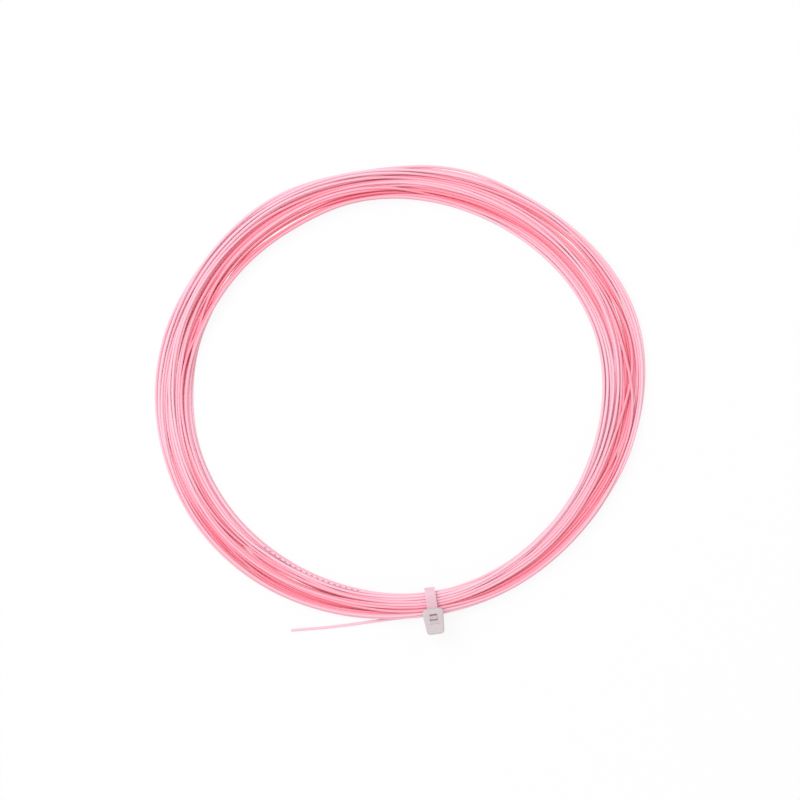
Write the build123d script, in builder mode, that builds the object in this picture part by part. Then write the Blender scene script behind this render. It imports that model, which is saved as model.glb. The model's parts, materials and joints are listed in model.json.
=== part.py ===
"""A loose flat coil of thin nylon line, held by one small ratchet cable tie.

Millimetres. The coil lies flat on the XY plane, +Z up. The origin is on that plane, under the
middle of the whole object's outline, and the tie is at the near side of the coil (-Y).
"""
import math
import os

from build123d import *

os.makedirs("parts", exist_ok=True)

# ---- the line -------------------------------------------------------------------------------
line_diameter = 0.66

# ---- the coil, as the outer shape of all its turns ------------------------------------------
coil_middle = (0.25, 1.8)
coil_radius = 52.4  # coil's middle to the middle of the bundle of turns, on average
coil_height = 2.2  # the bundle where it lies loose, about three lines deep
bundle_bevel = 0.6  # bevel along the bundle's long edges
# angle round the coil, how far the bundle's middle lies beyond coil_radius, and its width
bundle_stations = [
    (0, 0.9, 10.1),
    (30, 0.7, 10.6),
    (60, -1.7, 9.3),
    (90, -2.3, 8.0),
    (120, -1.3, 9.4),
    (150, 0.3, 8.4),
    (180, 2.1, 8.4),
    (210, 1.9, 9.3),
    (240, 0.3, 8.4),
    (300, -1.2, 6.2),
    (330, -0.8, 7.7),
]

# ---- the bundle where the tie holds it ------------------------------------------------------
tie_angle = 278.2  # round the coil, from +X
bundle_shift_at_tie = -1.05  # the bundle's middle there, beyond coil_radius
bundle_width_at_tie = 5.7
bundle_height_at_tie = 2.4
lifted_length = 26.0  # stretch of the bundle that the strap under it lifts off the surface
bundle_slack = 0.1  # between the bundle and the strap round it
side_room = 0.7  # between the bundle's outer edge and the strap that rises into the head

# ---- the tie: strap, head and pawl, in reality one nylon moulding ---------------------------
strap_width = 2.5
strap_thickness = 1.0
strap_bend = 0.9  # inner radius of the strap's bends
tooth_pitch = 0.9
tooth_depth = 0.25
tooth_land = 0.12  # plain strap between one tooth's slope and the next tooth
tooth_margin = 0.35  # plain edge of the strap on each side of its teeth

head_length = 6.1
head_width = 5.2
head_end_width = 4.1  # the head narrows away from the coil
head_height = 3.4
head_overlap = 1.9  # how far the head reaches in over the bundle
head_shoulder_round = 1.0
head_end_round = 0.9
head_edge_round = 0.45
slot_clearance = 0.05  # all round the strap in the head's slot

pawl_pocket = 1.35  # room for the pawl between the strap and the head's wall
pawl_clearance = 0.1
pawl_root_radius = 0.25
pawl_root_height = 0.5  # the root's axis above the head's lower face
pawl_tip_gap = 0.12  # the pawl's tip below the head's upper face
pawl_tip_thickness = 0.85
pawl_tooth_count = 2
pawl_tooth_reach = 0.2
pawl_lead_in = 0.25  # height of the slope below the pawl's face
tooth_backlash = 0.2  # the strap's free play before a tooth seats on the pawl

# ---- the free end of the line ---------------------------------------------------------------
# out of the bundle beside the tie, down to the surface and along it to the cut end
tail_route = [
    (5.9, -51.8, 1.5),
    (-1.5, -52.65, 1.0),
    (-9.5, -53.8, 0.45),
    (-17.8, -54.9, 0.34),
    (-26.1, -55.5, 0.34),
]
tail_arc_share = 0.45  # share of the shorter run that each of the tail's arcs takes up

# ---- levels and places that follow from the sizes above -------------------------------------
# heights are above the surface; reaches are outward from the coil's middle, at the tie
lift = strap_thickness + bundle_slack
bundle_top_at_tie = lift + bundle_height_at_tie
bundle_inner_at_tie = coil_radius + bundle_shift_at_tie - bundle_width_at_tie / 2
bundle_outer_at_tie = bundle_inner_at_tie + bundle_width_at_tie
loop_inner = bundle_inner_at_tie - bundle_slack
loop_outer = bundle_outer_at_tie + side_room
loop_top = bundle_top_at_tie + bundle_slack
head_start = bundle_outer_at_tie - head_overlap
head_top = loop_top + head_height
pocket_wall = loop_outer - pawl_pocket
pawl_width = strap_width - 2 * tooth_margin - 2 * pawl_clearance
pawl_face = loop_outer - pawl_clearance
pawl_tip = head_top - pawl_tip_gap
root_reach = pocket_wall + pawl_clearance + pawl_root_radius
root_level = loop_top + pawl_root_height
tooth_slope = tooth_pitch - tooth_land

# directions at the tie: outward from the coil's middle, and along the bundle
tie_turn = math.radians(tie_angle)
outward = Vector(math.cos(tie_turn), math.sin(tie_turn), 0)
along = Vector(-math.sin(tie_turn), math.cos(tie_turn), 0)
middle = Vector(coil_middle[0], coil_middle[1], 0)
across_bundle = Plane(origin=middle, x_dir=outward, z_dir=-along)  # x outward, y up
along_bundle = Plane(origin=middle, x_dir=along, z_dir=outward)  # x along the bundle, y up
under_head = Plane(origin=middle + Vector(0, 0, loop_top), x_dir=outward, z_dir=(0, 0, 1))


def edge_of_bundle(side):
    """One point of the bundle's inner (side -1) or outer (side 1) edge for each station."""
    stations = bundle_stations + [(tie_angle, bundle_shift_at_tie, bundle_width_at_tie)]
    points = []
    for angle, shift, width in sorted(stations):
        reach = coil_radius + shift + side * width / 2
        turn = math.radians(angle)
        points.append((middle.X + reach * math.cos(turn), middle.Y + reach * math.sin(turn)))
    return points


def rise(level, peak):
    """The space between a level and an arc over it, which peaks at the tie."""
    half = lifted_length / 2
    with BuildSketch() as space:
        with BuildLine():
            ThreePointArc((half, level), (0, peak), (-half, level))
            Line((-half, level), (half, level))
        make_face()
    return space.sketch


# ---- line_coil: all the turns as one flat ring, lifted and narrowed where the tie holds it --
with BuildSketch() as ring:
    with BuildLine():
        Spline(*edge_of_bundle(1), periodic=True)
    make_face()
    with BuildLine():
        Spline(*edge_of_bundle(-1), periodic=True)
    make_face(mode=Mode.SUBTRACT)

with BuildPart() as hump:
    with BuildSketch(along_bundle):
        add(rise(coil_height, bundle_top_at_tie))
    extrude(amount=2 * coil_radius)
    extrude(ring.sketch, amount=bundle_top_at_tie, mode=Mode.INTERSECT)

with BuildPart() as line_coil:
    extrude(ring.sketch, amount=coil_height)
    add(hump.part)
    with BuildSketch(along_bundle):
        add(rise(0, lift))
    extrude(amount=2 * coil_radius, mode=Mode.SUBTRACT)
    chamfer(line_coil.edges().filter_by(GeomType.BSPLINE), bundle_bevel)
line_coil.part.label = "line_coil"

# ---- line_tail: the free end, as straight runs joined by tangent arcs -----------------------
tail_points = [Vector(*point) for point in tail_route]
tail_radii = []
for before, corner, after in zip(tail_points, tail_points[1:], tail_points[2:]):
    shorter = min((corner - before).length, (after - corner).length)
    half_turn = math.radians((corner - before).get_angle(after - corner)) / 2
    tail_radii.append(tail_arc_share * shorter / math.tan(half_turn))

with BuildPart() as line_tail:
    with BuildLine():
        tail_path = FilletPolyline(*tail_points, radius=tail_radii)
    with BuildSketch(Plane(origin=tail_points[0], z_dir=tail_points[1] - tail_points[0])):
        Circle(line_diameter / 2)
    sweep()
line_tail.part.label = "line_tail"

# ---- tie_strap: from the head's root over, round and under the bundle, up through the slot --
with BuildPart() as tie_strap:
    half_strap = strap_thickness / 2
    with BuildSketch(across_bundle):
        with BuildLine():
            FilletPolyline(
                (head_start, loop_top + half_strap),
                (loop_inner - half_strap, loop_top + half_strap),
                (loop_inner - half_strap, half_strap),
                (loop_outer + half_strap, half_strap),
                (loop_outer + half_strap, head_top),
                radius=strap_bend + half_strap,
            )
        trace(line_width=strap_thickness)
    extrude(amount=strap_width / 2, both=True)
    # ratchet teeth: grooves on the inner face, each with its square end towards the strap's tip
    with BuildSketch(across_bundle):
        rising_length = head_top - strap_thickness - strap_bend
        for tooth in range(int(rising_length / tooth_pitch)):
            level = head_top - tooth * tooth_pitch
            with BuildLine():
                Polyline(
                    (loop_outer, level),
                    (loop_outer + tooth_depth, level),
                    (loop_outer, level - tooth_slope),
                    close=True,
                )
            make_face()
        flat_length = loop_outer - loop_inner - 2 * strap_bend
        for tooth in range(int(flat_length / tooth_pitch)):
            reach = loop_outer - strap_bend - tooth * tooth_pitch
            with BuildLine():
                Polyline(
                    (reach, strap_thickness),
                    (reach, strap_thickness - tooth_depth),
                    (reach - tooth_slope, strap_thickness),
                    close=True,
                )
            make_face()
    extrude(amount=strap_width / 2 - tooth_margin, both=True, mode=Mode.SUBTRACT)
tie_strap.part.label = "tie_strap"

# ---- tie_head: a tapered block with the strap's slot and the pawl's pocket ------------------
with BuildPart() as tie_head:
    with BuildSketch(under_head) as head_outline:
        with BuildLine():
            Polyline(
                (head_start, -head_width / 2),
                (head_start + head_length, -head_end_width / 2),
                (head_start + head_length, head_end_width / 2),
                (head_start, head_width / 2),
                close=True,
            )
        make_face()
        fillet(head_outline.vertices().group_by(Axis.X)[0], head_shoulder_round)
        fillet(head_outline.vertices().group_by(Axis.X)[-1], head_end_round)
    extrude(amount=head_height)
    fillet(tie_head.edges().group_by(Axis.Z)[-1], head_edge_round)
    with BuildSketch(under_head):
        with Locations((loop_outer + strap_thickness / 2, 0)):
            Rectangle(strap_thickness + 2 * slot_clearance, strap_width + 2 * slot_clearance)
        with Locations((loop_outer, 0)):
            Rectangle(pawl_pocket, pawl_width + 2 * pawl_clearance, align=(Align.MAX, Align.CENTER))
    extrude(amount=head_height, mode=Mode.SUBTRACT)
    # the seat that the pawl's root turns in
    with BuildSketch(across_bundle):
        with Locations((pocket_wall, loop_top)):
            Rectangle(root_reach - pocket_wall, pawl_root_height, align=(Align.MIN, Align.MIN))
        with Locations((root_reach, root_level)):
            Circle(pawl_root_radius + pawl_clearance / 2, mode=Mode.SUBTRACT)
    extrude(amount=pawl_width / 2 + pawl_clearance, both=True)
tie_head.part.label = "tie_head"

# ---- tie_pawl: the toothed tongue that stands in the head and locks the strap ---------------
with BuildPart() as tie_pawl:
    with BuildSketch(across_bundle):
        with BuildLine():
            Polyline(
                (root_reach - pawl_root_radius, root_level),
                (pawl_face - pawl_tip_thickness, pawl_tip),
                (pawl_face, pawl_tip),
                (pawl_face, root_level + pawl_lead_in),
                (root_reach + pawl_root_radius, root_level),
                close=True,
            )
        make_face()
        with Locations((root_reach, root_level)):
            Circle(pawl_root_radius)
        for tooth in range(1, pawl_tooth_count + 1):
            level = head_top - tooth * tooth_pitch - tooth_backlash
            with BuildLine():
                Polyline(
                    (pawl_face, level),
                    (pawl_face + pawl_tooth_reach, level),
                    (pawl_face, level - tooth_slope * pawl_tooth_reach / tooth_depth),
                    close=True,
                )
            make_face()
    extrude(amount=pawl_width / 2, both=True)
tie_pawl.part.label = "tie_pawl"

for piece in (line_coil, line_tail, tie_strap, tie_head, tie_pawl):
    export_step(piece.part, f"parts/{piece.part.label}.step")

section = math.pi / 4 * line_diameter**2
print("tail radii", [round(radius) for radius in tail_radii])
print("tail length", round(tail_path.length, 2))
print("tail volume", round(line_tail.part.volume, 3), "against", round(section * tail_path.length, 3))
pawl_axis = middle + outward * root_reach + Vector(0, 0, root_level)
print("pawl's root at", [round(value, 4) for value in pawl_axis])
print("pawl opens about", [round(-value, 5) for value in along])
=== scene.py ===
"""A flat coil of thin pink nylon line, held by one small cable tie, on a pale studio floor.

Metres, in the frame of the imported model: the coil lies on the XY plane, +Z up.
"""
import json
import math

import bpy
import numpy as np
from bpy.props import FloatProperty, FloatVectorProperty, IntProperty, PointerProperty
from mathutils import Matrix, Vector
from mathutils.bvhtree import BVHTree


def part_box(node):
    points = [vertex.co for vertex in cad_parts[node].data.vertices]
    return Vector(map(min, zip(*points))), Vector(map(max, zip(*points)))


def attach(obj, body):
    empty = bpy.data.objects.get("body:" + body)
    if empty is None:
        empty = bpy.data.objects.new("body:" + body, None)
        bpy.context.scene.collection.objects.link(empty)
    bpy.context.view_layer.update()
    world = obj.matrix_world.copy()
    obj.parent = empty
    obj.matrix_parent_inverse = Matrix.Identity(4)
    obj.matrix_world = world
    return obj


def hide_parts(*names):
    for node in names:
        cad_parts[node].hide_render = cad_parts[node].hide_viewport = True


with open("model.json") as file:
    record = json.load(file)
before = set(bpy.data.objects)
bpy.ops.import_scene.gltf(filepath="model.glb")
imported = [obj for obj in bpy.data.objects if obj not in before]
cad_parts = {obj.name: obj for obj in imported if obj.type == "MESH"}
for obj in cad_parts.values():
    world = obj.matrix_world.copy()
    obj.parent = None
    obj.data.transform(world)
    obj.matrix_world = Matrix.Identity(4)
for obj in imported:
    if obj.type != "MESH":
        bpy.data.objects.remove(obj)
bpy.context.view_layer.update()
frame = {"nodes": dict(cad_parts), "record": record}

bl_info = {
    "name": "Coil of line",
    "version": (1, 0, 0),
    "blender": (4, 5, 0),
    "location": "View3D > Sidebar > Coil of line",
    "description": "Winds the line through its tie, finishes the tie and sets the stage",
    "category": "Object",
}

MM = 0.001
BODY = "coil_and_tie"

# the line's free end, from the tie down to the surface and along it to the cut, in metres
TAIL_ROUTE = [
    (0.0059, -0.0518, 0.0015),
    (-0.0015, -0.05265, 0.0010),
    (-0.0095, -0.0538, 0.00045),
    (-0.0178, -0.0549, 0.00034),
    (-0.0261, -0.0555, 0.00034),
]

# ---- how the line is wound ------------------------------------------------------------------
STATIONS = 96  # places round the coil where the turns are laid out
TAIL_STATIONS = 6  # stations along the free end that the turns make room for
HIDDEN_STATIONS = 3  # stations past the tie that the hidden end runs on
CROSSING_TURNS = 7.5  # turns that the line takes to wander from one side of the bundle to the other
# slow waves in the line's course: each one's length in turns, and how much it counts
WANDER = [(0.83, 0.05), (1.37, 0.09), (2.2, 0.12), (3.9, 0.12)]
STRAY = [(0.61, 0.02), (1.13, 0.04), (1.9, 0.05)]
DIVE = [(0.9, 0.3), (1.7, 0.6), (2.9, 0.7), (4.7, 0.6)]
RANKED, WANDERING = 0.8, 0.2  # how much an even place counts, and how much the wandering one
END_WEIGHT, END_SHARPNESS = 3, 6  # how firmly, and how near the line's two ends, it lies at the bottom
# smoothing along the line, in stations
RANK_SPREAD = 7
ACROSS_SPREAD = 4
HEIGHT_SPREAD = 6
DEPTH_SPREAD = 2
LAYERS = 3.2  # layers of strands at the start
LAYER_RISE = 0.9  # from one layer to the next, in diameters
WALL_LEVELS = 12  # heights at which the bundle's walls are looked for
TAIL_PIECES = 60  # short lengths into which each leg of the free end is cut to find its crossings

# ---- how the strands lie in groups ----------------------------------------------------------
# lying below the first share of the height, strands are spread evenly; above the second, in groups
BOTTOM = (0.38, 0.62)
# angle round the coil in degrees, then the middle and half width of two valleys between the
# groups of upper strands, as shares of the bundle's width from its inner edge; painted shade
# makes the line's colour deeper in a valley
VALLEYS = [
    (0, 0.62, 0.15, 0.30, 0.02),
    (20, 0.66, 0.14, 0.30, 0.05),
    (45, 0.74, 0.10, 0.30, 0.08),
    (75, 0.78, 0.08, 0.22, 0.16),
    (105, 0.60, 0.08, 0.18, 0.19),
    (125, 0.55, 0.10, 0.14, 0.22),
    (142, 0.54, 0.10, 0.15, 0.22),
    (160, 0.48, 0.08, 0.18, 0.16),
    (180, 0.60, 0.00, 0.19, 0.06),
    (195, 0.78, 0.04, 0.20, 0.05),
    (212, 0.78, 0.10, 0.45, 0.10),
    (240, 0.72, 0.14, 0.40, 0.12),
    (268, 0.66, 0.16, 0.36, 0.06),
    (278, 0.62, 0.08, 0.35, 0.00),
    (298, 0.78, 0.16, 0.34, 0.05),
    (325, 0.66, 0.22, 0.30, 0.02),
    (345, 0.62, 0.20, 0.30, 0.02),
]
VALLEY_SLOPE, VALLEY_BLUR = 0.75, 0.02  # spread of its painted shade: share of its half width, and more
VALLEY_FULL = 0.1  # half width from which a valley's painted shade counts fully
# places where a single turn stands off the rest: angle in degrees, how far it spreads in degrees,
# how far it stands off in metres, outward or inward, and which turn counted from that side
LOOSE = [
    (75, 8, 0.0013, 1, 0),
    (172, 10, 0.0007, 1, 0),
    (165, 8, 0.0003, 1, 1),
    (180, 8, 0.0005, -1, 0),
    (20, 8, 0.0003, 1, 0),
]
LOOSE_RUN = STATIONS / 3  # stations to each side over which it may stand off
# where the bundle is drawn in: angle and spread in degrees, then metres at its inside and outside
NECK = (105, 10, 0.0005, 0.0008)

# ---- how the strands settle on each other ---------------------------------------------------
SETTLING_STEPS = 1100
PULL_EARLY, PULL_LATE = 0.03, 0.004  # share of the way to its own place that a strand goes in a step
SINK_EARLY, SINK_LATE = 0.006, 0.0006  # millimetres that it sinks in a step
STIFFNESS = 0.05  # share of its bend that a strand loses at a time
STIFFNESS_LOSS = 0.6  # share of the stiffness that is gone by the end
STRAIGHTENINGS = 2  # times in a step
PRESSES_EARLY, PRESSES_LATE = 2, 4  # times in a step
LATE = 0.8  # share of the steps after which the strands press as often as late ones do
PRESS_SHARE = 0.35  # share of an overlap by which each of two strands gives way
WALL_SHARE = 0.5  # share of the way back that a wall sends a strand
TIE_PLAY = 0.02 * MM  # between the free end and the tie's outer wall
TOUCH = 1e-9  # metres added to each distance, so that none is nothing
ABSENT_AT, ABSENT_APART = 1, 0.01  # metres out where a missing strand stands, and from the next one

# ---- how much painted shade deepens the line's colour ---------------------------------------
COVER_REACH = 2.5  # diameters across, within which a higher strand counts
COVER_WEIGHT, COVER_MOST = 0.3, 1.2  # what it counts per diameter of height, and to how many
VALLEY_WEIGHT = 1.2
DEPTH_FULL = 1.5  # the depth at which the painted shade is deepest
UNSHADED_TOP, DYE_UNEVEN = 1.15, 0.3  # how far the top strands are kept from the painted shade, and how much the uneven dyeing takes off

# ---- finishes -------------------------------------------------------------------------------
NYLON_IOR = 1.53
LINE_GLOSS = 0.35
LINE_GRAIN_ALONG = 60.0  # the grain is drawn out along the line: pattern lengths to a metre
LINE_RELIEF, NYLON_RELIEF = 1.5e-6, 2e-5  # height of the surface's bumps, in metres
RIDGE_SHARE, SPECKLE_SHARE = 0.5, 0.6  # of the filaments and of the speckle in the line's relief
NYLON_SHADE = 0.94  # the darker nylon beside the paler
HEAD_REACH = (2.6 * MM, 3.4 * MM)  # from the head's middle, over which the strap's painted see-through pink gives way to the head's colour: inside it, and clear of it

# ---- the printed dashes ---------------------------------------------------------------------
PRINT_TURN = (math.radians(228), math.radians(259))  # where round the coil they stand
PRINT_REACH = 1.2 * MM  # best distance of the strand from the bundle's inner edge
PRINT_LEEWAY = 3 * MM  # a strand this much off that has lost one point
PRINT_SHOWN = 2  # points for a strand that is open to view from above all along
PRINT_BESIDE = 0.8  # diameters across, within which another strand can cover it
PRINT_WINDOW = 1.2 * math.pi / STATIONS  # radians round the coil, likewise
PRINT_LEVEL = 1e-6  # metres by which another strand may be higher and not cover it

# ---- the stage ------------------------------------------------------------------------------
FLOOR_LEVEL = -0.05 * MM
FLOOR_PAINT = (0.93, 0.93, 0.93, 1)
FLOOR_WHITE = 0.88  # share of plain white where the floor is seen, so that it still takes a shadow
LAMP_SIZE = 0.7
LAMP_PLACE = (-0.45, 0.30, 0.85)
FILM_WIDTH = 36.0  # millimetres
VIEW_SHIFT = -0.24 * MM  # the view's middle beside the coil's, along Y
WHITE = (1, 1, 1, 1)


def mount_point(name):
    """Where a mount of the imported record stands."""
    for mount in frame["record"]["mounts"]:
        if mount["name"] == name:
            return Vector(mount["pos_m"])
    raise RuntimeError(f"the record has no mount named {name}")


def box_middle(node):
    low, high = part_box(node)
    return (low + high) / 2


MIDDLE = mount_point("coil_middle")
TIE_MIDDLE = box_middle("tie_strap")
TIE_TURN = math.atan2(TIE_MIDDLE.y - MIDDLE.y, TIE_MIDDLE.x - MIDDLE.x)


# ---- node helpers ---------------------------------------------------------------------------
def set_place(node, place):
    node.location = (place[0] * 220, -place[1] * 180)


def feed(tree, socket, value):
    """Gives a socket its value, or links it when the value is a socket itself."""
    if isinstance(value, bpy.types.NodeSocket):
        tree.links.new(value, socket)
    else:
        socket.default_value = value


def add_node(tree, kind, place, **inputs):
    """A node at a grid place, with its inputs set by name, or by number as in _0."""
    node = tree.nodes.new(kind)
    set_place(node, place)
    for name, value in inputs.items():
        key = int(name[1:]) if name[0] == "_" else name.replace("_", " ")
        feed(tree, node.inputs[key], value)
    return node


def operate(tree, kind, operation, place, values):
    node = tree.nodes.new(kind)
    node.operation = operation
    set_place(node, place)
    for socket, value in zip(node.inputs, values):
        feed(tree, socket, value)
    return node


def maths(tree, operation, place, *values):
    return operate(tree, "ShaderNodeMath", operation, place, values).outputs[0]


def vectors(tree, operation, place, *values):
    return operate(tree, "ShaderNodeVectorMath", operation, place, values).outputs["Vector"]


def measure(tree, operation, place, *values):
    """The number that two vectors give, such as their distance."""
    return operate(tree, "ShaderNodeVectorMath", operation, place, values).outputs["Value"]


def blend(tree, place, share, first, second):
    """Two colours mixed, each a socket or three numbers."""
    node = tree.nodes.new("ShaderNodeMix")
    node.data_type = "RGBA"
    set_place(node, place)
    feed(tree, node.inputs[0], share)
    for socket, colour in ((node.inputs[6], first), (node.inputs[7], second)):
        feed(tree, socket, colour if isinstance(colour, bpy.types.NodeSocket) else (*colour, 1))
    return node.outputs[2]


def seen_rays(tree):
    """1 for the rays that the floor and the world show plain white to, or else 0."""
    path = add_node(tree, "ShaderNodeLightPath", (0, 0))
    seen = maths(tree, "MAXIMUM", (1, 0), path.outputs["Is Camera Ray"], path.outputs["Is Glossy Ray"])
    return maths(tree, "MAXIMUM", (1, 1), seen, path.outputs["Is Transmission Ray"])


def new_material(name):
    material = bpy.data.materials.new(name)
    material.use_nodes = True
    material.node_tree.nodes.clear()
    return material, material.node_tree


def finish_material(tree, shader, place=(9, 0)):
    output = add_node(tree, "ShaderNodeOutputMaterial", place)
    tree.links.new(shader.outputs[0], output.inputs["Surface"])


# ---- shader groups --------------------------------------------------------------------------
def surface_drift_group():
    """Slow drift and fine speckle over a moulded or drawn plastic surface."""
    tree = bpy.data.node_groups.get("Surface drift")
    if tree:
        return tree
    tree = bpy.data.node_groups.new("Surface drift", "ShaderNodeTree")
    for name, kind, default in (
        ("Position", "NodeSocketVector", None),
        ("Drift size", "NodeSocketFloat", 200.0),
        ("Speckle size", "NodeSocketFloat", 4000.0),
    ):
        socket = tree.interface.new_socket(name, in_out="INPUT", socket_type=kind)
        if default is not None:
            socket.default_value = default
    for name in ("Drift", "Speckle"):
        tree.interface.new_socket(name, in_out="OUTPUT", socket_type="NodeSocketFloat")
    start = add_node(tree, "NodeGroupInput", (0, 0))
    drift = add_node(
        tree, "ShaderNodeTexNoise", (1, 0),
        Vector=start.outputs["Position"], Scale=start.outputs["Drift size"], Detail=2.0,
    )
    speckle = add_node(
        tree, "ShaderNodeTexNoise", (1, 1),
        Vector=start.outputs["Position"], Scale=start.outputs["Speckle size"], Detail=3.0,
    )
    end = add_node(tree, "NodeGroupOutput", (2, 0))
    tree.links.new(drift.outputs[0], end.inputs["Drift"])
    tree.links.new(speckle.outputs[0], end.inputs["Speckle"])
    return tree


def surface_drift(tree, place, position, drift_size, speckle_size):
    """The drift and the speckle at a position."""
    node = tree.nodes.new("ShaderNodeGroup")
    node.node_tree = surface_drift_group()
    set_place(node, place)
    feed(tree, node.inputs["Position"], position)
    feed(tree, node.inputs["Drift size"], drift_size)
    feed(tree, node.inputs["Speckle size"], speckle_size)
    return node.outputs["Drift"], node.outputs["Speckle"]


# ---- the line's route -----------------------------------------------------------------------
def bell(away, spread):
    """1 where it is centred, falling smoothly to nothing on both sides."""
    return np.exp(-0.5 * (away / spread) ** 2)


def wander(rng, turns, waves):
    """A value that drifts smoothly along the line: a sum of slow waves with random starts."""
    total = np.zeros_like(turns)
    for period, size in waves:
        total += size * np.sin(2 * np.pi * (turns / period + rng.uniform()))
    return total


def smoothed(values, spread):
    reach = int(4 * spread) + 1
    weights = bell(np.arange(-reach, reach + 1), spread)
    return np.convolve(np.pad(values, reach, mode="edge"), weights / weights.sum(), mode="valid")


def bundle_walls(angles):
    """The bundle's inner and outer reach from the coil's middle, and its floor and top, by angle."""
    tree = BVHTree.FromObject(frame["nodes"]["line_coil"], bpy.context.evaluated_depsgraph_get())
    low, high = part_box("line_coil")
    far = (high - low).length
    rows = []
    for angle in angles:
        outward = Vector((math.cos(angle), math.sin(angle), 0))
        inner = outer = None
        for level in np.linspace(low.z, high.z, WALL_LEVELS)[1:-1]:
            centre = Vector((MIDDLE.x, MIDDLE.y, level))
            near = tree.ray_cast(centre, outward)
            back = tree.ray_cast(centre + outward * far, -outward)
            if near[0] is None or back[0] is None:
                continue
            reach = (near[0] - centre).length, (back[0] - centre).length
            inner = reach[0] if inner is None else min(inner, reach[0])
            outer = reach[1] if outer is None else max(outer, reach[1])
        half_way = Vector((MIDDLE.x, MIDDLE.y, 0)) + outward * (inner + outer) / 2
        top = tree.ray_cast(half_way + Vector((0, 0, far)), Vector((0, 0, -1)))[0].z
        floor = tree.ray_cast(half_way - Vector((0, 0, far)), Vector((0, 0, 1)))[0].z
        rows.append((inner, outer, floor, top))
    return np.array(rows).T


def tail_crossings(angles):
    """The tail's reach and level where it passes each angle round the coil."""
    points = np.array(TAIL_ROUTE)
    fine = np.concatenate([
        np.linspace(a, b, TAIL_PIECES, endpoint=False) for a, b in zip(points[:-1], points[1:])
    ])
    turn = np.arctan2(fine[:, 1] - MIDDLE.y, fine[:, 0] - MIDDLE.x) % (2 * np.pi)
    reach = np.hypot(fine[:, 0] - MIDDLE.x, fine[:, 1] - MIDDLE.y)
    nearest = [np.abs(turn - angle).argmin() for angle in angles]
    return reach[nearest], fine[nearest, 2]


def even_ranks(values, grid):
    """Each strand's place among those beside it, from 0 to 1, by the size of its value."""
    ranks = np.zeros_like(values)
    for row in grid:
        members = row[row >= 0]
        ranks[members] = values[members].argsort().argsort() / (len(members) - 1)
    return ranks


def valleys(angle):
    """Middle and half width of each valley at the given angles, as shares of the bundle's width."""
    table = np.array(VALLEYS).T
    degrees = np.degrees(angle)
    for middle, half in (table[1:3], table[3:5]):
        yield (
            np.interp(degrees, table[0], middle, period=360),
            np.interp(degrees, table[0], half, period=360),
        )


def parted(share, angle, upper):
    """Moves upper strands out of the bundle's valleys, to the nearer side of each."""
    for middle, half in valleys(angle):
        away = share - middle
        share = middle + np.sign(away) * np.sqrt(away**2 + (half * upper) ** 2)
    return share


def in_valleys(share, angle):
    """How far each place lies in the bundle's valleys, from 0 to 1, which sets its painted shade."""
    deepest = np.zeros_like(share)
    for middle, half in valleys(angle):
        slope = bell(share - middle, VALLEY_SLOPE * half + VALLEY_BLUR)
        deepest = np.maximum(deepest, slope * np.clip(half / VALLEY_FULL, 0, 1))
    return deepest


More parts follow.
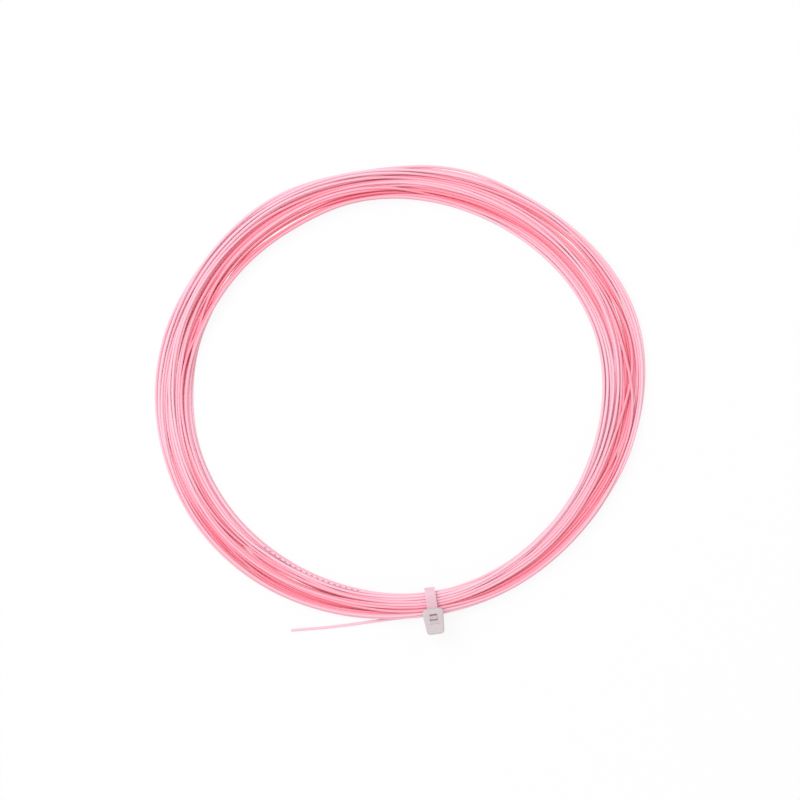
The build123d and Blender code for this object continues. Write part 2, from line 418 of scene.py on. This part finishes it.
class Winding:
    """The line's points, from the free end through the turns to the hidden end, and the walls
    between which they settle. A lane holds one turn, and the last lane the free end."""

    def __init__(self, diameter, turns):
        self.diameter = diameter
        self.turns = turns
        self.step = np.arange(-TAIL_STATIONS, turns * STATIONS + HIDDEN_STATIONS + 1)
        self.station = self.step % STATIONS
        self.lane = np.where(self.step < 0, turns + 1, self.step // STATIONS)
        self.lanes = np.arange(turns + 2)
        self.grid = -np.ones((STATIONS, len(self.lanes)), int)
        self.grid[self.station, self.lane] = np.arange(len(self.step))
        self.there = self.grid >= 0
        station_angles = (TIE_TURN + 2 * np.pi * np.arange(STATIONS) / STATIONS) % (2 * np.pi)
        self.angle = station_angles[self.station]
        inner, outer, floor, top = bundle_walls(station_angles)
        self.low_reach = (inner + diameter / 2)[self.station]
        self.high_reach = (outer - diameter / 2)[self.station]
        self.low_level = (np.maximum(floor, 0) + diameter / 2)[self.station]
        tie_inner, tie_outer = bundle_walls([TIE_TURN])[:2, 0]
        self.tie_reach = (tie_inner + diameter / 2, tie_outer - diameter / 2)
        self.tie_level = (floor[0] + diameter / 2, top[0] - diameter / 2)

    def lay_out(self, rng):
        """Where each strand would like to lie across the bundle, and how high, from 0 to 1."""
        turn = self.step / STATIONS
        drift = np.abs(1 - (turn / CROSSING_TURNS) % 2) + wander(rng, turn, WANDER)
        share = smoothed(even_ranks(drift, self.grid), RANK_SPREAD)
        share = smoothed(RANKED * share + WANDERING * np.clip(drift, 0, 1), ACROSS_SPREAD)
        share = share + wander(rng, turn, STRAY)
        near_end = np.abs(2 * np.clip(turn / self.turns, 0, 1) - 1) ** END_SHARPNESS
        climb = wander(rng, turn, DIVE) - END_WEIGHT * near_end
        height = smoothed(even_ranks(climb, self.grid), HEIGHT_SPREAD)
        upper = np.clip((height - BOTTOM[0]) / (BOTTOM[1] - BOTTOM[0]), 0, 1)
        share = np.clip(parted(np.clip(share, 0, 1), self.angle, upper), 0, 1)
        return share, height

    def shape_walls(self, share):
        """Draws the neck in and makes room for the loose turns; gives the reach that each point
        is pulled to."""
        wanted = self.low_reach + share * (self.high_reach - self.low_reach)
        degrees = np.degrees(self.angle)
        neck_angle, neck_spread, inside, outside = NECK
        drawn_in = bell(degrees - neck_angle, neck_spread)
        self.low_reach += inside * drawn_in
        self.high_reach -= outside * drawn_in
        for middle, spread, size, side, place in LOOSE:
            away = (degrees - middle + 180) % 360 - 180
            at_middle = (np.abs(away) < 180 / STATIONS + 0.01) & (self.lane <= self.turns)
            strands = np.flatnonzero(at_middle)
            turn_off = self.step[strands[np.argsort(-side * share[strands])[place]]]
            bulge = size * bell(away, spread) * (np.abs(self.step - turn_off) < LOOSE_RUN)
            wanted += side * bulge
            self.high_reach += max(side, 0) * bulge
            self.low_reach -= max(-side, 0) * bulge
        return wanted

    def compared(self, reach, level):
        """How much further out and up each strand at a station lies than each other one there."""
        across = np.where(self.there, reach[self.grid], ABSENT_AT + ABSENT_APART * self.lanes)
        up = np.where(self.there, level[self.grid], 0)
        return across[:, :, None] - across[:, None, :], up[:, :, None] - up[:, None, :]

    def settle(self, wanted, height):
        """Lets the strands sink, straighten and press apart between the walls and in the tie,
        while the free end and the point in the tie where it starts are held."""
        reach = wanted.copy()
        level = self.low_level + height * LAYERS * LAYER_RISE * self.diameter
        tail = slice(0, TAIL_STATIONS)
        reach[tail], level[tail] = tail_crossings(self.angle[tail])
        reach[TAIL_STATIONS] = self.tie_reach[1] - TIE_PLAY
        level[TAIL_STATIONS] = TAIL_ROUTE[0][2]
        free = self.step > 0
        in_tie = self.grid[0][self.there[0]]
        in_tie = in_tie[free[in_tie]]
        moves = self.there & free[self.grid]
        moved = self.grid[moves]
        # a strand next to a held one gives way for both
        gives = np.where(self.there & ~free[self.grid], 2.0, 1.0)[:, None, :] * PRESS_SHARE
        for count in range(SETTLING_STEPS):
            late = count / SETTLING_STEPS
            pull = PULL_EARLY * (1 - late) ** 2 + PULL_LATE
            reach[free] += pull * (wanted - reach)[free]
            level[free] -= (SINK_EARLY * (1 - late) + SINK_LATE) * MM
            stiff = STIFFNESS * (1 - STIFFNESS_LOSS * late)
            for values in (reach, level):
                for _ in range(STRAIGHTENINGS):
                    ends = np.pad(values, 2, mode="reflect", reflect_type="odd")
                    bend = ends[:-4] - 4 * ends[1:-3] + 6 * ends[2:-2] - 4 * ends[3:-1] + ends[4:]
                    values[free] -= stiff * bend[free]
            for _ in range(PRESSES_EARLY if late < LATE else PRESSES_LATE):
                apart, above = self.compared(reach, level)
                gap = np.sqrt(apart * apart + above * above) + TOUCH
                press = np.clip(self.diameter - gap, 0, None)
                press[:, self.lanes, self.lanes] = 0
                reach[moved] += (press * apart / gap * gives).sum(2)[moves]
                level[moved] += (press * above / gap * gives).sum(2)[moves]
                level[free] = np.maximum(level, self.low_level)[free]
                reach[free] -= WALL_SHARE * np.clip(reach - self.high_reach, 0, None)[free]
                reach[free] += WALL_SHARE * np.clip(self.low_reach - reach, 0, None)[free]
                reach[in_tie] = np.clip(reach[in_tie], *self.tie_reach)
                level[in_tie] = np.clip(level[in_tie], *self.tie_level)
        return reach, level

    def painted_shade_depths(self, reach, level):
        """How much painted shade each point gets: for lying below the strands beside it, and in valleys.
        """
        apart, above = self.compared(reach, level)
        beside = np.clip(1 - np.abs(apart) / (COVER_REACH * self.diameter), 0, 1)
        below = np.clip(-above, 0, None) / self.diameter
        covered = np.clip((beside * below).max(2)[self.there], 0, COVER_MOST)
        shade_depth = np.zeros(len(self.step))
        shade_depth[self.grid[self.there]] = COVER_WEIGHT * covered
        share = (reach - self.low_reach) / (self.high_reach - self.low_reach)
        shade_depth += VALLEY_WEIGHT * in_valleys(share, self.angle)
        return smoothed(shade_depth, DEPTH_SPREAD)


def wind_line(diameter, turns, seed):
    """The line's turns as strands that have settled on each other: angle, reach, level and painted
    shade of each point, from the tie, where the free end leaves, to the hidden end."""
    winding = Winding(diameter, turns)
    share, height = winding.lay_out(np.random.RandomState(seed))
    reach, level = winding.settle(winding.shape_walls(share), height)
    shade_depth = winding.painted_shade_depths(reach, level)
    past_tail = slice(TAIL_STATIONS, None)
    return tuple(values[past_tail] for values in (winding.angle, reach, level, shade_depth))


def smooth_route(points, name):
    """A smooth spline led by the route's points, as a mesh of edges and as an array."""
    curve = bpy.data.curves.new(name, "CURVE")
    curve.dimensions = "3D"
    spline = curve.splines.new("NURBS")
    spline.points.add(len(points) - 1)
    for target, point in zip(spline.points, points):
        target.co = (*point, 1.0)
    spline.order_u = 3
    spline.use_endpoint_u = True
    spline.resolution_u = 2
    holder = bpy.data.objects.new(name, curve)
    bpy.context.scene.collection.objects.link(holder)
    bpy.context.view_layer.update()
    mesh = bpy.data.meshes.new_from_object(holder)
    path = np.array([vertex.co for vertex in mesh.vertices])
    bpy.data.objects.remove(holder)
    bpy.data.curves.remove(curve)
    return mesh, path


# ---- the line's tube ------------------------------------------------------------------------
def line_tube_tree():
    """A round tube along a route, closed at both ends, with a place on its skin for each point:
    across and up from its middle in radii, and metres along it."""
    tree = bpy.data.node_groups.new("Line tube", "GeometryNodeTree")
    face = tree.interface
    face.new_socket("Geometry", in_out="INPUT", socket_type="NodeSocketGeometry")
    face.new_socket("Diameter", in_out="INPUT", socket_type="NodeSocketFloat")
    face.new_socket("Sides", in_out="INPUT", socket_type="NodeSocketInt")
    face.new_socket("Material", in_out="INPUT", socket_type="NodeSocketMaterial")
    face.new_socket("Geometry", in_out="OUTPUT", socket_type="NodeSocketGeometry")
    start = add_node(tree, "NodeGroupInput", (0, 0))
    radius = maths(tree, "MULTIPLY", (1, 2), start.outputs["Diameter"], 0.5)
    route = add_node(tree, "GeometryNodeMeshToCurve", (1, 0), Mesh=start.outputs["Geometry"])
    level = add_node(tree, "GeometryNodeSetCurveNormal", (2, 0), Curve=route.outputs[0])
    level.mode = "Z_UP"
    place = add_node(tree, "GeometryNodeInputPosition", (2, 2))
    length = add_node(tree, "GeometryNodeSplineParameter", (2, 3))
    keep = add_node(tree, "GeometryNodeCaptureAttribute", (3, 0), Geometry=level.outputs[0])
    keep.domain = "POINT"
    keep.capture_items.new("VECTOR", "Middle")
    keep.capture_items.new("FLOAT", "Along")
    tree.links.new(place.outputs[0], keep.inputs["Middle"])
    tree.links.new(length.outputs["Length"], keep.inputs["Along"])
    section = add_node(
        tree, "GeometryNodeCurvePrimitiveCircle", (3, 2),
        Resolution=start.outputs["Sides"], Radius=radius,
    )
    tube = add_node(
        tree, "GeometryNodeCurveToMesh", (4, 0),
        Curve=keep.outputs[0], Profile_Curve=section.outputs[0], Fill_Caps=True,
    )
    here = add_node(tree, "GeometryNodeInputPosition", (4, 2))
    centre = keep.outputs["Middle"]
    offset = vectors(tree, "SUBTRACT", (5, 2), here.outputs[0], centre)
    spread = add_node(tree, "ShaderNodeSeparateXYZ", (5, 3), Vector=offset)
    # outward from the coil's middle, on the level
    out = vectors(tree, "SUBTRACT", (4, 4), centre, MIDDLE)
    level_out = vectors(tree, "MULTIPLY", (5, 4), out, (1, 1, 0))
    outward = vectors(tree, "NORMALIZE", (6, 4), level_out)
    across = measure(tree, "DOT_PRODUCT", (5, 1), outward, offset)
    skin = add_node(
        tree, "ShaderNodeCombineXYZ", (7, 2),
        X=maths(tree, "DIVIDE", (6, 2), across, radius),
        Y=maths(tree, "DIVIDE", (6, 3), spread.outputs[2], radius),
        Z=keep.outputs["Along"],
    )
    store = add_node(
        tree, "GeometryNodeStoreNamedAttribute", (8, 0), Geometry=tube.outputs[0], Name="skin",
    )
    store.data_type = "FLOAT_VECTOR"
    store.domain = "POINT"
    tree.links.new(skin.outputs[0], store.inputs["Value"])
    real = add_node(tree, "GeometryNodeRealizeInstances", (9, 0), Geometry=store.outputs[0])
    coat = add_node(
        tree, "GeometryNodeSetMaterial", (10, 0),
        Geometry=real.outputs[0], Material=start.outputs["Material"],
    )
    end = add_node(tree, "NodeGroupOutput", (11, 0))
    tree.links.new(coat.outputs[0], end.inputs[0])
    return tree


def run_tree(mesh, tree, name, values):
    """The plain mesh that a geometry tree makes of a mesh, with its inputs set by their names."""
    holder = bpy.data.objects.new(name + "_route", mesh)
    bpy.context.scene.collection.objects.link(holder)
    modifier = holder.modifiers.new(tree.name, "NODES")
    modifier.node_group = tree
    for item in tree.interface.items_tree:
        if item.in_out == "INPUT" and item.name in values:
            modifier[item.identifier] = values[item.name]
    graph = bpy.context.evaluated_depsgraph_get()
    graph.update()
    made = bpy.data.meshes.new_from_object(holder.evaluated_get(graph))
    holder.modifiers.remove(modifier)
    bpy.data.objects.remove(holder)
    made.name = name
    piece = bpy.data.objects.new(name, made)
    bpy.context.scene.collection.objects.link(piece)
    return piece


# ---- materials ------------------------------------------------------------------------------
def line_dye_and_painted_shade(tree, settings, drift):
    """The dyed nylon's colour, with painted shade that deepens it where the line lies deep in the
    bundle.
    """
    shade_depth = add_node(tree, "ShaderNodeAttribute", (3, 4))
    shade_depth.attribute_name = "shade_depth"
    sunk = add_node(
        tree, "ShaderNodeMapRange", (4, 4), Value=shade_depth.outputs["Fac"], From_Max=DEPTH_FULL,
    )
    uneven = maths(tree, "MULTIPLY", (4, 2), drift, DYE_UNEVEN)
    pale = maths(tree, "SUBTRACT", (4, 5), UNSHADED_TOP, sunk.outputs[0])
    pale = maths(tree, "SUBTRACT", (5, 4), pale, uneven)
    return blend(tree, (5, 3), pale, settings.painted_shade_colour, settings.colour)


def line_ink(tree, settings, skin, print_start, print_end):
    """How well ink covers the skin: a row of plain dashes along the top of one strand."""
    across, up, along = skin
    length = maths(tree, "SUBTRACT", (2, 5), along, print_start)
    beat = maths(tree, "FRACT", (3, 5), maths(tree, "DIVIDE", (2, 6), length, settings.dash_pitch))
    dash = maths(tree, "LESS_THAN", (4, 5), beat, settings.dash_share)
    started = maths(tree, "GREATER_THAN", (4, 6), length, 0.0)
    ended = maths(tree, "LESS_THAN", (4, 7), along, print_end)
    wide = maths(tree, "LESS_THAN", (3, 7), maths(tree, "ABSOLUTE", (2, 7), across), settings.dash_width)
    above = maths(tree, "GREATER_THAN", (3, 8), up, 0.0)
    row = maths(tree, "MULTIPLY", (5, 6), maths(tree, "MULTIPLY", (5, 5), dash, started), ended)
    ink = maths(tree, "MULTIPLY", (6, 6), maths(tree, "MULTIPLY", (6, 5), row, wide), above)
    return maths(tree, "MULTIPLY", (7, 6), ink, settings.ink_strength)


def line_material(settings, print_start, print_end):
    """Dyed nylon, deepened by painted shade low in the bundle: satin skin over wrapped filaments, with a
    row of plain dashes printed on it.
    """
    material, tree = new_material("pink_line")
    attribute = add_node(tree, "ShaderNodeAttribute", (0, 0))
    attribute.attribute_name = "skin"
    skin = add_node(tree, "ShaderNodeSeparateXYZ", (1, 0), Vector=attribute.outputs["Vector"]).outputs
    across, up, along = skin
    # the ridges of the filaments, wound round the line
    around = maths(tree, "ARCTAN2", (2, 1), up, across)
    twist = maths(tree, "MULTIPLY", (2, 2), along, 2 * math.pi / settings.wrap_pitch)
    strands = maths(tree, "MULTIPLY", (3, 2), around, settings.wrap_count)
    ridge = maths(tree, "SINE", (4, 1), maths(tree, "ADD", (3, 1), strands, twist))
    grain_along = maths(tree, "MULTIPLY", (2, 3), along, LINE_GRAIN_ALONG)
    place = add_node(tree, "ShaderNodeCombineXYZ", (3, 3), X=across, Y=up, Z=grain_along)
    drift, speckle = surface_drift(tree, (4, 3), place.outputs[0], drift_size=0.35, speckle_size=2.6)
    dye_and_painted_shade = line_dye_and_painted_shade(tree, settings, drift)
    ink = line_ink(tree, settings, skin, print_start, print_end)
    colour = blend(tree, (7, 3), ink, dye_and_painted_shade, settings.ink_colour)
    rough = add_node(tree, "ShaderNodeMapRange", (6, 2), Value=speckle, To_Min=0.34, To_Max=0.52)
    relief = maths(
        tree, "ADD", (6, 1),
        maths(tree, "MULTIPLY", (5, 1), ridge, RIDGE_SHARE),
        maths(tree, "MULTIPLY", (5, 2), speckle, SPECKLE_SHARE),
    )
    bump = add_node(
        tree, "ShaderNodeBump", (7, 1), Height=relief, Distance=LINE_RELIEF, Strength=0.5,
    )
    shader = add_node(
        tree, "ShaderNodeBsdfPrincipled", (8, 0),
        Base_Color=colour, Roughness=rough.outputs[0], Normal=bump.outputs[0],
        IOR=NYLON_IOR, Specular_IOR_Level=LINE_GLOSS,
    )
    finish_material(tree, shader)
    return material


def nylon_material(name, colour, clearness, shine, head_colour=None):
    """Natural nylon, as moulded: milky, faintly pebbled, with a soft gloss. With a head colour,
    the given colour holds painted light, the pink of the line behind seen through the thin strap, and
    the part inside the tie's head has the head colour instead, because nothing pink lies behind it."""
    material, tree = new_material(name)
    place = add_node(tree, "ShaderNodeTexCoord", (0, 0)).outputs["Object"]
    drift, speckle = surface_drift(tree, (1, 0), place, drift_size=420.0, speckle_size=5200.0)
    shade = blend(tree, (3, 0), drift, [value * NYLON_SHADE for value in colour], colour)
    if head_colour:
        # painted light: outside the head the pink seen through the strap is painted in; inside it, the
        # plain head colour
        away = measure(tree, "DISTANCE", (1, 3), place, box_middle("tie_head"))
        clear = add_node(
            tree, "ShaderNodeMapRange", (2, 3),
            Value=away, From_Min=HEAD_REACH[0], From_Max=HEAD_REACH[1],
        )
        shade = blend(tree, (4, 0), clear.outputs[0], head_colour, shade)
    rough = add_node(
        tree, "ShaderNodeMapRange", (3, 1), Value=speckle, To_Min=shine, To_Max=shine + 0.16,
    )
    bump = add_node(
        tree, "ShaderNodeBump", (3, 2), Height=speckle, Distance=NYLON_RELIEF, Strength=0.35,
    )
    shader = add_node(
        tree, "ShaderNodeBsdfPrincipled", (5, 0),
        Base_Color=shade, Roughness=rough.outputs[0], Normal=bump.outputs[0], IOR=NYLON_IOR,
    )
    through = add_node(
        tree, "ShaderNodeBsdfTranslucent", (5, 2), Color=shade, Normal=bump.outputs[0],
    )
    milky = add_node(
        tree, "ShaderNodeMixShader", (6, 0),
        _0=clearness, _1=shader.outputs[0], _2=through.outputs[0],
    )
    finish_material(tree, milky, (7, 0))
    return material


def dress(node, material):
    """Gives a node of the frame its material, in every slot that it has."""
    piece = frame["nodes"][node]
    if not piece.material_slots:
        piece.data.materials.append(material)
    for holder in piece.material_slots:
        holder.link = "OBJECT"
        holder.material = material


# ---- settings -------------------------------------------------------------------------------
class LineSettings(bpy.types.PropertyGroup):
    diameter: FloatProperty(
        name="Diameter", description="The line's diameter", default=0.00066,
        min=0.0003, max=0.002, subtype="DISTANCE", unit="LENGTH",
    )
    length: FloatProperty(
        name="Length", description="The line's length as it is sold", default=10.0,
        subtype="DISTANCE", unit="LENGTH",
    )
    turns: IntProperty(name="Turns", description="Whole turns in the coil", default=30, min=3, max=60)
    sides: IntProperty(name="Sides", description="Flats round the line", default=14, min=6, max=24)
    seed: IntProperty(name="Seed", description="Which way the turns happen to fall", default=3)
    colour: FloatVectorProperty(
        name="Colour", description="The dyed nylon where it is palest", subtype="COLOR",
        default=(1.0, 0.595, 0.70), min=0, max=1,
    )
    # painted shade: the line's colour where it lies deepest in the bundle and in the valleys, darkened
    # in place of the shade that falls there
    painted_shade_colour: FloatVectorProperty(
        name="Painted shade colour", description="The dyed nylon where it is deepest", subtype="COLOR",
        default=(1.0, 0.29, 0.385), min=0, max=1,
    )
    ink_colour: FloatVectorProperty(
        name="Ink", description="Colour of the printed dashes", subtype="COLOR",
        default=(0.30, 0.17, 0.27), min=0, max=1,
    )
    ink_strength: FloatProperty(
        name="Ink strength", description="How well the ink covers", default=0.8, min=0, max=1,
    )
    dash_pitch: FloatProperty(
        name="Dash pitch", description="From one printed dash to the next", default=0.00145,
        subtype="DISTANCE", unit="LENGTH",
    )
    dash_share: FloatProperty(
        name="Dash share", description="Share of the pitch that is printed", default=0.42, min=0, max=1,
    )
    dash_width: FloatProperty(
        name="Dash width", description="Width of a dash as a share of the line's", default=0.4,
        min=0, max=1,
    )
    wrap_pitch: FloatProperty(
        name="Wrap pitch", description="Length in which the wrapped filaments go round once",
        default=0.004, subtype="DISTANCE", unit="LENGTH",
    )
    wrap_count: IntProperty(
        name="Filaments", description="Filaments side by side round the line", default=16, min=1,
    )


class TieSettings(bpy.types.PropertyGroup):
    colour: FloatVectorProperty(
        name="Colour", description="Natural nylon", subtype="COLOR",
        default=(0.86, 0.79, 0.80), min=0, max=1,
    )
    # painted light: the pink of the line behind, seen through the thin strap, is painted into this
    # colour
    strap_colour_with_painted_light: FloatVectorProperty(
        name="Strap colour", description="Natural nylon, thin enough for the line to show through",
        subtype="COLOR", default=(1.0, 0.78, 0.85), min=0, max=1,
    )
    clearness: FloatProperty(
        name="Clearness", description="Share of the light that passes through", default=0.4,
        min=0, max=1, subtype="FACTOR",
    )


class StageSettings(bpy.types.PropertyGroup):
    view_width: FloatProperty(
        name="View width", description="Width of floor that the camera takes in", default=0.192,
        subtype="DISTANCE", unit="LENGTH",
    )
    lens: FloatProperty(name="Lens", description="Focal length in millimetres", default=150.0)
    floor_size: FloatProperty(
        name="Floor size", description="Side of the floor", default=3.0,
        subtype="DISTANCE", unit="LENGTH",
    )
    sky_strength: FloatProperty(
        name="Sky", description="Even light from all round", default=0.70, min=0,
    )
    lamp_strength: FloatProperty(
        name="Lamp", description="The soft lamp's power in watts", default=5.0, min=0,
    )


# ---- operators ------------------------------------------------------------------------------
class COIL_OT_line(bpy.types.Operator):
    """Winds the whole line: the hidden end, the loose turns through the tie, and the free end"""

    bl_idname = "coil.line"
    bl_label = "Wind the line"

    def execute(self, context):
        settings = context.scene.coil_line
        angle, reach, level, shade_depth = wind_line(settings.diameter, settings.turns, settings.seed)
        coil = np.stack([
            MIDDLE.x + reach * np.cos(angle),
            MIDDLE.y + reach * np.sin(angle),
            level,
        ], axis=1)
        mesh, path = smooth_route([*coil[::-1], *TAIL_ROUTE], "line_route")
        # painted shade: how deep each point lies in the bundle and its valleys, stored on the line for
        # its material to darken by
        deep = mesh.attributes.new("shade_depth", "FLOAT", "POINT")
        along = np.linspace(0, len(coil) + len(TAIL_ROUTE) - 1, len(path))
        shade_depth = np.concatenate([shade_depth[::-1], np.zeros(len(TAIL_ROUTE))])
        deep.data.foreach_set("value", np.interp(along, np.arange(len(shade_depth)), shade_depth))
        steps = np.linalg.norm(np.diff(path, axis=0), axis=1)
        length = np.concatenate([[0], np.cumsum(steps)])
        start, end = self.printed_stretch(settings, path, length)
        material = line_material(settings, start, end)
        line = run_tree(mesh, line_tube_tree(), "line", {
            "Diameter": settings.diameter, "Sides": settings.sides, "Material": material,
        })
        for polygon in line.data.polygons:
            polygon.use_smooth = True
        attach(line, BODY)
        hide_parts("line_coil", "line_tail")
        return {"FINISHED"}

    def printed_stretch(self, settings, path, length):
        """Start and end, in metres along the line, of the strand that shows best from above
        near the bundle's inner edge, on the tie's left."""
        turn = np.arctan2(path[:, 1] - MIDDLE.y, path[:, 0] - MIDDLE.x) % (2 * np.pi)
        reach = np.hypot(path[:, 0] - MIDDLE.x, path[:, 1] - MIDDLE.y)
        within = (turn > PRINT_TURN[0]) & (turn < PRINT_TURN[1])
        edges = np.flatnonzero(np.diff(within.astype(int)))
        best = None
        for first, last in zip(edges[:-1], edges[1:]):
            if not within[first + 1]:
                continue
            shown = 0.0
            for index in range(first + 1, last + 1):
                near = np.abs(reach - reach[index]) < PRINT_BESIDE * settings.diameter
                near &= np.abs(turn - turn[index]) < PRINT_WINDOW
                shown += float(path[index, 2] >= path[near, 2].max() - PRINT_LEVEL)
            shown /= last - first
            strand = reach[first + 1:last + 1].mean()
            off = abs(strand - reach[within].min() - PRINT_REACH) / PRINT_LEEWAY
            score = PRINT_SHOWN * shown - off
            if best is None or score > best[0]:
                best = (score, length[first + 1], length[last])
        return best[1], best[2]


class COIL_OT_tie(bpy.types.Operator):
    """Finishes the tie's strap, head and pawl in milky natural nylon"""

    bl_idname = "coil.tie"
    bl_label = "Finish the tie"

    def execute(self, context):
        settings = context.scene.coil_tie
        # the strap's colour holds painted light from the pink line behind it
        strap = nylon_material(
            "strap_nylon", settings.strap_colour_with_painted_light, settings.clearness,
            shine=0.34, head_colour=settings.colour,
        )
        head = nylon_material("head_nylon", settings.colour, settings.clearness, shine=0.42)
        dress("tie_strap", strap)
        dress("tie_head", head)
        dress("tie_pawl", head)
        return {"FINISHED"}


class COIL_OT_stage(bpy.types.Operator):
    """Sets the pale floor, the soft light and the camera that looks straight down on the coil"""

    bl_idname = "coil.stage"
    bl_label = "Set the stage"

    def execute(self, context):
        settings = context.scene.coil_stage
        self.lay_floor(settings)
        self.light(context.scene, settings)
        self.set_camera(context.scene, settings)
        return {"FINISHED"}

    def lay_floor(self, settings):
        half = settings.floor_size / 2
        corners = [(-half, -half), (half, -half), (half, half), (-half, half)]
        mesh = bpy.data.meshes.new("floor")
        mesh.from_pydata([(x, y, FLOOR_LEVEL) for x, y in corners], [], [(0, 1, 2, 3)])
        floor = bpy.data.objects.new("floor", mesh)
        bpy.context.scene.collection.objects.link(floor)
        material, tree = new_material("floor_white")
        matt = add_node(tree, "ShaderNodeBsdfDiffuse", (2, 0), Color=FLOOR_PAINT)
        glow = add_node(tree, "ShaderNodeEmission", (2, 1), Color=WHITE, Strength=1.0)
        share = maths(tree, "MULTIPLY", (1, 2), seen_rays(tree), FLOOR_WHITE)
        mix = add_node(
            tree, "ShaderNodeMixShader", (3, 0),
            _0=share, _1=matt.outputs[0], _2=glow.outputs[0],
        )
        finish_material(tree, mix, (4, 0))
        floor.data.materials.append(material)

    def light(self, scene, settings):
        world = bpy.data.worlds.new("studio")
        scene.world = world
        world.use_nodes = True
        tree = world.node_tree
        tree.nodes.clear()
        soft = add_node(
            tree, "ShaderNodeBackground", (2, 0), Color=WHITE, Strength=settings.sky_strength,
        )
        white = add_node(tree, "ShaderNodeBackground", (2, 1), Color=WHITE, Strength=1.0)
        mix = add_node(
            tree, "ShaderNodeMixShader", (3, 0),
            _0=seen_rays(tree), _1=soft.outputs[0], _2=white.outputs[0],
        )
        output = add_node(tree, "ShaderNodeOutputWorld", (4, 0))
        tree.links.new(mix.outputs[0], output.inputs["Surface"])
        data = bpy.data.lights.new("soft_lamp", "AREA")
        data.shape = "SQUARE"
        data.size = LAMP_SIZE
        data.energy = settings.lamp_strength
        lamp = bpy.data.objects.new("soft_lamp", data)
        lamp.location = LAMP_PLACE
        lamp.rotation_euler = (-lamp.location).to_track_quat("-Z", "Y").to_euler()
        scene.collection.objects.link(lamp)

    def set_camera(self, scene, settings):
        data = bpy.data.cameras.new("camera")
        data.lens = settings.lens
        data.sensor_width = FILM_WIDTH
        height = settings.view_width * data.lens / data.sensor_width
        data.clip_start = height * 0.01
        data.clip_end = height * 100
        camera = bpy.data.objects.new("camera", data)
        camera.location = (0, VIEW_SHIFT, height)
        scene.collection.objects.link(camera)
        scene.camera = camera
        scene.view_settings.view_transform = "Standard"


class COIL_PT_panel(bpy.types.Panel):
    """Sizes and colours of the coil, and a button for each of its steps"""

    bl_idname = "COIL_PT_panel"
    bl_label = "Coil of line"
    bl_space_type = "VIEW_3D"
    bl_region_type = "UI"
    bl_category = "Coil of line"

    def draw(self, context):
        for operator, settings in (
            ("coil.line", context.scene.coil_line),
            ("coil.tie", context.scene.coil_tie),
            ("coil.stage", context.scene.coil_stage),
        ):
            box = self.layout.box()
            for name in settings.bl_rna.properties.keys():
                if name not in {"rna_type", "name"}:
                    box.prop(settings, name)
            box.operator(operator)


CLASSES = (
    LineSettings, TieSettings, StageSettings,
    COIL_OT_line, COIL_OT_tie, COIL_OT_stage, COIL_PT_panel,
)
SETTINGS = {"coil_line": LineSettings, "coil_tie": TieSettings, "coil_stage": StageSettings}


def register():
    for item in CLASSES:
        bpy.utils.register_class(item)
    for name, kind in SETTINGS.items():
        setattr(bpy.types.Scene, name, PointerProperty(type=kind))


def unregister():
    for name in SETTINGS:
        delattr(bpy.types.Scene, name)
    for item in reversed(CLASSES):
        bpy.utils.unregister_class(item)


def main():
    register()
    bpy.ops.coil.stage()
    bpy.ops.coil.line()
    bpy.ops.coil.tie()


if __name__ == "__main__":
    main()
